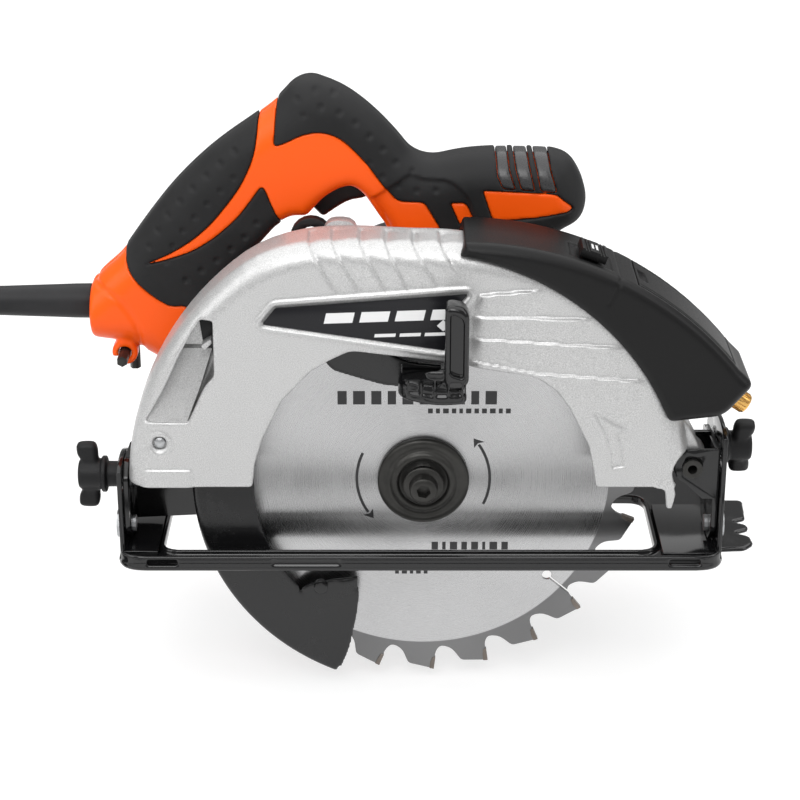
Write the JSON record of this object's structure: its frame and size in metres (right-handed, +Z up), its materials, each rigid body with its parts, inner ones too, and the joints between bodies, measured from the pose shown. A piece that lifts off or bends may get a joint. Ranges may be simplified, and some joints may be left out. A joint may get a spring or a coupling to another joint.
{
  "type": "circular saw",
  "caption": "Corded hand-held circular saw: D-handle with soft grips, side motor, sprung blade guard, laser unit and a shoe that tilts for depth and bevel.",
  "frame": {"origin": "in the shoe's sole plane, on the blade's mid plane, straight below the spindle", "axes": "+X in the cutting direction, -Y to the blade side, +Y to the motor side, +Z up"},
  "size_m": [0.5169, 0.2443, 0.2839],
  "materials": {
    "black_enamel": "glossy black dipped enamel",
    "guard_black": "semi-gloss black paint",
    "silver_cast": "fine-textured metallic silver on die casting",
    "orange_shell": "fine-grained satin moulding",
    "soft_grip": "matt overmould with small dimples",
    "knob_rubber": "satin moulding",
    "laser_black": "matt moulding with soft sheen",
    "gloss_black": "polished moulding",
    "inner_black": "plain moulding",
    "decal_black": "printed film",
    "blade_steel": "circular-brushed, ground rim",
    "machined_steel": "turned",
    "core_steel": "stacked laminations",
    "black_oxide": "black oxide",
    "brass": "turned and lacquered",
    "copper": "bare copper bars",
    "carbon": "pressed carbon",
    "cord_black": "smooth flexible sheath"
  },
  "bodies": {
    "base": {"shoe": "black_enamel", "front_quadrant": "black_enamel", "rear_quadrant": "black_enamel", "front_bevel_rivet": "machined_steel", "rear_bevel_rivet": "machined_steel"},
    "bevel_frame": {"front_tilt_bracket": "black_enamel", "rear_tilt_bracket": "black_enamel", "front_knob_bolt": "machined_steel", "rear_knob_bolt": "machined_steel", "depth_pivot_pin": "black_oxide", "front_knob_washer": "machined_steel"},
    "saw_body": {"upper_guard": "silver_cast", "guard_decal": "decal_black", "laser_housing": "laser_black", "laser_cell": "machined_steel", "laser_module": "brass", "gearbox_cover": "silver_cast", "motor_housing": "orange_shell", "motor_end_cap": "inner_black", "stator": "core_steel", "carbon_brush_front": "carbon", "carbon_brush_rear": "carbon", "spindle_bearing_front": "machined_steel", "spindle_bearing_rear": "machined_steel", "motor_bearing_front": "machined_steel", "motor_bearing_rear": "machined_steel", "guard_spring": "machined_steel", "handle_near_half": "orange_shell", "handle_far_half": "orange_shell", "rear_grip": "soft_grip", "top_grip": "soft_grip", "switch_module": "inner_black", "hex_key": "black_oxide", "depth_lock_bolt": "machined_steel", "strain_relief": "cord_black", "power_cord": "cord_black", "cord_coil": "cord_black", "cord_tail": "cord_black", "plug": "cord_black"},
    "spindle": {"spindle": "machined_steel", "inner_flange": "machined_steel", "blade": "blade_steel", "outer_flange": "black_oxide", "blade_bolt": "black_oxide", "drive_gear": "machined_steel"},
    "armature": {"armature_shaft": "machined_steel", "armature_core": "core_steel", "commutator": "copper", "cooling_fan": "inner_black"},
    "lower_guard": {"lower_guard": "guard_black", "guard_lever": "gloss_black"},
    "front_wing_knob": {"front_wing_knob": "knob_rubber"},
    "rear_wing_knob": {"rear_wing_knob": "knob_rubber"},
    "trigger": {"trigger": "gloss_black"},
    "lock_off_button": {"lock_off_button": "gloss_black"},
    "spindle_lock_lever": {"spindle_lock_lever": "gloss_black"},
    "laser_switch": {"laser_switch": "laser_black"},
    "laser_battery_cover": {"laser_battery_cover": "laser_black"},
    "laser_focus_ring": {"laser_focus_ring": "brass"},
    "depth_lock_lever": {"depth_lock_lever": "inner_black"}
  },
  "joints": [
    {"name": "bevel_tilt", "type": "hinge", "parent": "base", "child": "bevel_frame", "pos_m": [0, 0, 0.012], "axis": [1, 0, 0], "range_deg": [0, 45]},
    {"name": "depth_tilt", "type": "hinge", "parent": "bevel_frame", "child": "saw_body", "pos_m": [0.1216, 0, 0.0457], "axis": [0, 1, 0], "range_deg": [0, 24]},
    {"name": "spindle_spin", "type": "hinge", "parent": "saw_body", "child": "spindle", "pos_m": [0, 0, 0.035], "axis": [0, 1, 0], "continuous": true},
    {"name": "armature_spin", "type": "hinge", "parent": "saw_body", "child": "armature", "pos_m": [-0.0075, 0, 0.06534], "axis": [0, 1, 0], "continuous": true},
    {"name": "lower_guard_swing", "type": "hinge", "parent": "saw_body", "child": "lower_guard", "pos_m": [0, 0, 0.035], "axis": [0, 1, 0], "range_deg": [-92, 45], "stiffness_Nm_per_rad": 0.15, "springref_deg": -160.43},
    {"name": "front_knob_turn", "type": "hinge", "parent": "bevel_frame", "child": "front_wing_knob", "pos_m": [0.1392, 0.018, 0.0435], "axis": [1, 0, 0], "range_deg": [-180, 0]},
    {"name": "rear_knob_turn", "type": "hinge", "parent": "bevel_frame", "child": "rear_wing_knob", "pos_m": [-0.1408, 0.01, 0.0325], "axis": [-1, 0, 0], "range_deg": [-180, 0]},
    {"name": "trigger_pull", "type": "hinge", "parent": "saw_body", "child": "trigger", "pos_m": [-0.027, 0.045, 0.164], "axis": [0, 1, 0], "range_deg": [0, 12], "stiffness_Nm_per_rad": 0.6, "springref_deg": -14.32},
    {"name": "lock_off_press", "type": "slide", "parent": "saw_body", "child": "lock_off_button", "axis": [0, -1, 0], "range_m": [0, 0.002], "stiffness_N_per_m": 400, "springref_m": -0.002},
    {"name": "spindle_lock_press", "type": "hinge", "parent": "saw_body", "child": "spindle_lock_lever", "pos_m": [-0.041, 0.0247, 0.145], "axis": [0, 1, 0], "range_deg": [0, 10], "stiffness_Nm_per_rad": 0.05, "springref_deg": -22.92},
    {"name": "laser_switch_slide", "type": "slide", "parent": "saw_body", "child": "laser_switch", "axis": [0.933, 0, -0.36], "range_m": [0, 0.004]},
    {"name": "battery_cover_swing", "type": "hinge", "parent": "saw_body", "child": "laser_battery_cover", "pos_m": [0.13706, 0, 0.09867], "axis": [0, 1, 0], "range_deg": [0, 75]},
    {"name": "focus_ring_turn", "type": "hinge", "parent": "saw_body", "child": "laser_focus_ring", "pos_m": [0.1361, 0, 0.07855], "axis": [0.8368, 0, -0.5476], "range_deg": [-90, 90]},
    {"name": "depth_lock_turn", "type": "hinge", "parent": "saw_body", "child": "depth_lock_lever", "pos_m": [-0.07333, 0.024, 0.0508], "axis": [0, 1, 0], "range_deg": [0, 40]}
  ],
  "couplings": [
    {"joint": "armature_spin", "follows": "spindle_spin", "ratio": -4}
  ]
}
